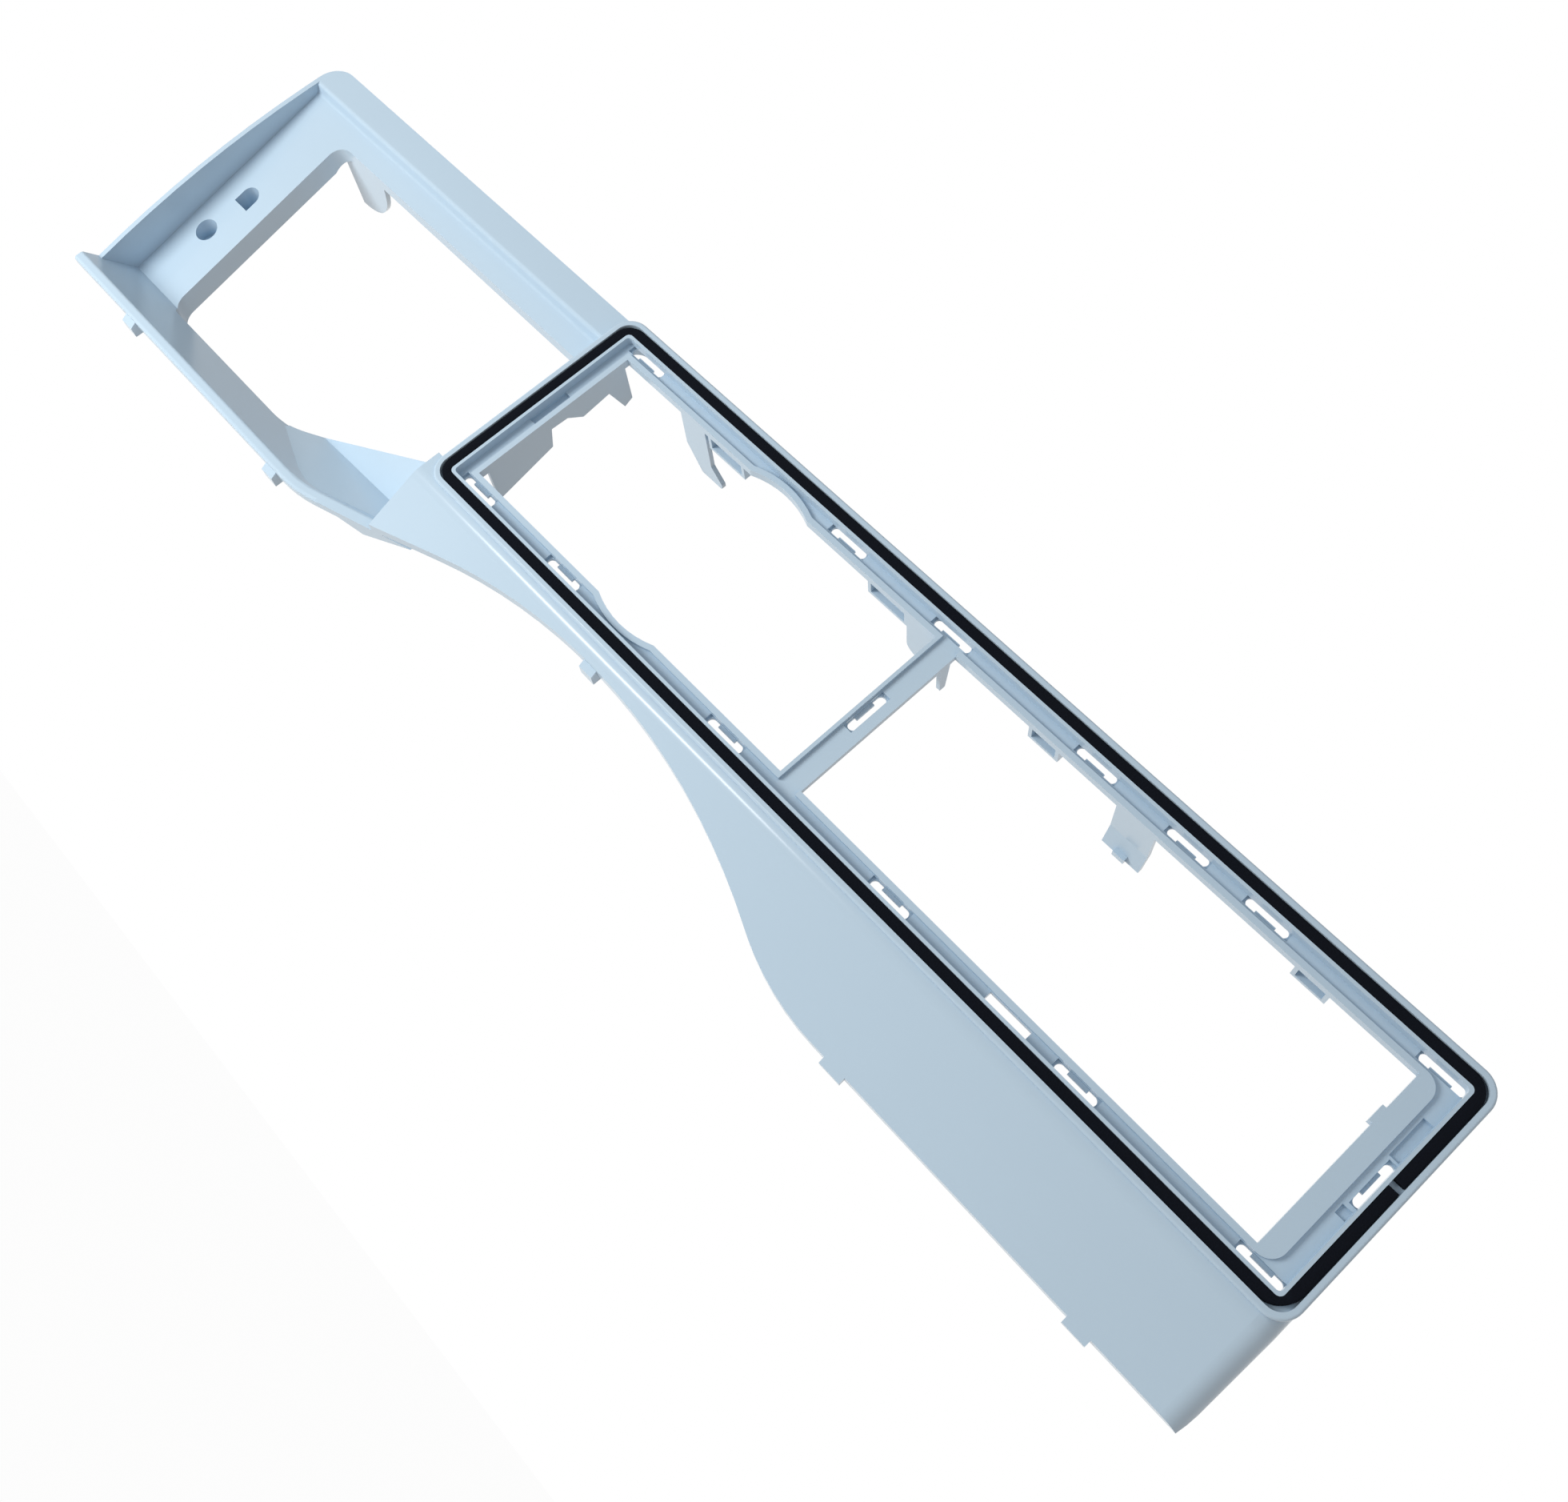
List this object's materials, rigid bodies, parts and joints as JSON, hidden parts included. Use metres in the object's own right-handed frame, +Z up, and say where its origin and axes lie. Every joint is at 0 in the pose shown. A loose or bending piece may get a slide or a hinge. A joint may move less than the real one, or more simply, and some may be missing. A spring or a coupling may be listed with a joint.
{
  "type": "dryer control panel cover",
  "caption": "White moulded front cover for a tumble dryer: drawer surround, panel frame with a black foam gasket, and a skirt arched for the door.",
  "frame": {"origin": "middle of the top wall's rear edge, in the plane where the cover lands on the machine", "axes": "+X along the cover from the drawer end to the panel end, +Y backwards into the machine, +Z up"},
  "size_m": [0.597, 0.05, 0.14],
  "materials": {
    "white_plastic": "satin",
    "black_foam": "matt"
  },
  "bodies": {
    "root": {"panel_cover": "white_plastic", "foam_gasket": "black_foam"}
  },
  "joints": []
}
